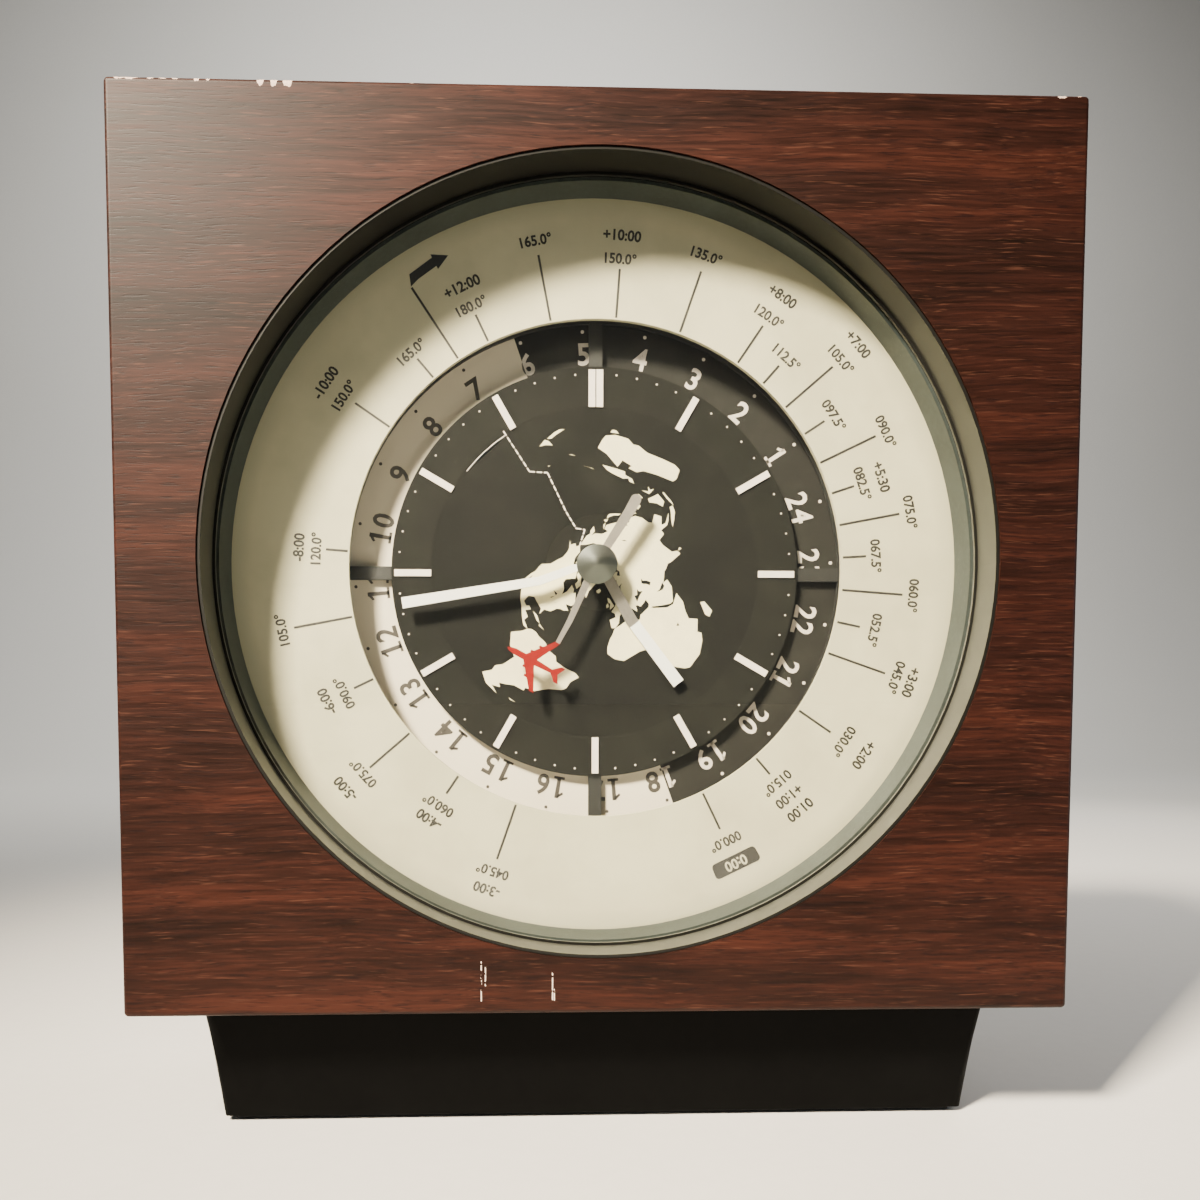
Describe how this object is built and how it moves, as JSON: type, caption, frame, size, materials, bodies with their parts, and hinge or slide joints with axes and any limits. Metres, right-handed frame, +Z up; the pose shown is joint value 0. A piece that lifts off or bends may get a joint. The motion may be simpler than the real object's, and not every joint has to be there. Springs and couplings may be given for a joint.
{
  "type": "world time clock",
  "caption": "Square wooden desk clock with a round world time dial, a day and night ring, three hands and a low black plinth.",
  "frame": {"origin": "middle of the footprint, on the surface that the clock stands on", "axes": "+Z up, +X to the viewer's right, the dial faces -Y"},
  "size_m": [0.16, 0.062, 0.174],
  "materials": {
    "rosewood": "satin lacquered rosewood with fine pores",
    "plinth": "black satin paint on wood",
    "felt": "dark felt",
    "bezel": "spun, satin",
    "glass": "clear, polished",
    "flange": "dark satin paint",
    "city": "ivory matt paint with printed marks",
    "black": "matt black paint",
    "map": "charcoal matt paint with a printed map",
    "baton": "white paint",
    "day_night": "printed sheet, light half and dark half",
    "hand": "white paint",
    "second_hand": "satin",
    "aeroplane": "red paint",
    "cap": "turned cone",
    "brass": "machined",
    "acetal": "moulded, off-white",
    "magnet": "sintered ferrite with a moulded pinion",
    "steel": "zinc plated",
    "shell": "moulded black",
    "copper": "enamelled copper wire",
    "board": "green laminate",
    "battery": "plain steel jacket",
    "cover": "black, fine spark-eroded grain"
  },
  "bodies": {
    "case": {"wood_case": "rosewood", "plinth": "plinth", "plinth_screws": "steel", "felt_pad": "felt", "bezel": "bezel", "glass": "glass", "flange_ring": "flange", "city_ring": "city", "dial_tray": "black", "dial_bridge": "black", "map_dial": "map", "hour_batons": "baton", "mount_plate": "steel", "plate_screws": "steel", "movement_screws": "steel", "movement_front": "shell", "movement_back": "shell", "lay_arbor": "brass", "train_plate": "brass", "train_bridge": "brass", "stator": "steel", "coil_core": "steel", "coil": "copper", "circuit_board": "board", "quartz_crystal": "steel", "clock_chip": "shell", "battery": "battery", "contact_plus": "steel", "contact_minus": "steel", "back_cover": "cover", "cover_screws": "steel"},
    "minute": {"cannon_pinion": "brass", "minute_hand": "hand"},
    "hour": {"hour_wheel": "acetal", "hour_pinion": "brass", "hour_hand": "hand"},
    "minute_wheel": {"minute_wheel": "acetal"},
    "lay_gear": {"lay_gear": "acetal"},
    "day_night": {"day_night_ring": "day_night", "ring_gear": "brass"},
    "setting": {"set_pinion": "acetal", "set_knob": "cover"},
    "second": {"second_wheel": "acetal", "second_hand": "second_hand", "aeroplane": "aeroplane", "hand_cap": "cap"},
    "third_wheel": {"third_wheel": "acetal"},
    "centre_wheel": {"centre_wheel": "brass"},
    "idler_wheel": {"idler_wheel": "acetal"},
    "rotor": {"rotor": "magnet"},
    "battery_door": {"battery_door": "cover"}
  },
  "joints": [
    {"name": "minute_turn", "type": "hinge", "parent": "case", "child": "minute", "pos_m": [0, 0, 0.098], "axis": [0, 1, 0], "continuous": true},
    {"name": "hour_turn", "type": "hinge", "parent": "case", "child": "hour", "pos_m": [0, 0, 0.098], "axis": [0, 1, 0], "continuous": true},
    {"name": "minute_wheel_turn", "type": "hinge", "parent": "case", "child": "minute_wheel", "pos_m": [0, 0, 0.113], "axis": [0, 1, 0], "continuous": true},
    {"name": "lay_turn", "type": "hinge", "parent": "case", "child": "lay_gear", "pos_m": [-0.0099, 0, 0.0881], "axis": [0, 1, 0], "continuous": true},
    {"name": "day_night_turn", "type": "hinge", "parent": "case", "child": "day_night", "pos_m": [0, 0, 0.098], "axis": [0, 1, 0], "continuous": true},
    {"name": "setting_turn", "type": "hinge", "parent": "case", "child": "setting", "pos_m": [0.00972, 0, 0.12272], "axis": [0, 1, 0], "continuous": true},
    {"name": "second_turn", "type": "hinge", "parent": "case", "child": "second", "pos_m": [0, 0, 0.098], "axis": [0, 1, 0], "continuous": true},
    {"name": "third_turn", "type": "hinge", "parent": "case", "child": "third_wheel", "pos_m": [-0.01275, 0, 0.098], "axis": [0, 1, 0], "continuous": true},
    {"name": "centre_turn", "type": "hinge", "parent": "case", "child": "centre_wheel", "pos_m": [0, 0, 0.098], "axis": [0, 1, 0], "continuous": true},
    {"name": "idler_turn", "type": "hinge", "parent": "case", "child": "idler_wheel", "pos_m": [0, 0, 0.0854], "axis": [0, 1, 0], "continuous": true},
    {"name": "rotor_turn", "type": "hinge", "parent": "case", "child": "rotor", "pos_m": [0.0084, 0, 0.0854], "axis": [0, 1, 0], "continuous": true},
    {"name": "door_slide", "type": "slide", "parent": "case", "child": "battery_door", "axis": [0, 0, 1], "range_m": [0, 0.032]}
  ],
  "couplings": [
    {"joint": "hour_turn", "follows": "minute_turn", "ratio": 0.083333},
    {"joint": "minute_wheel_turn", "follows": "minute_turn", "ratio": -0.33333},
    {"joint": "lay_turn", "follows": "minute_turn", "ratio": -0.055556},
    {"joint": "day_night_turn", "follows": "minute_turn", "ratio": 0.041667},
    {"joint": "setting_turn", "follows": "minute_turn", "ratio": 1.5},
    {"joint": "third_turn", "follows": "second_turn", "ratio": -0.13333},
    {"joint": "centre_turn", "follows": "second_turn", "ratio": 0.016667},
    {"joint": "idler_turn", "follows": "second_turn", "ratio": -5},
    {"joint": "rotor_turn", "follows": "second_turn", "ratio": 30}
  ]
}
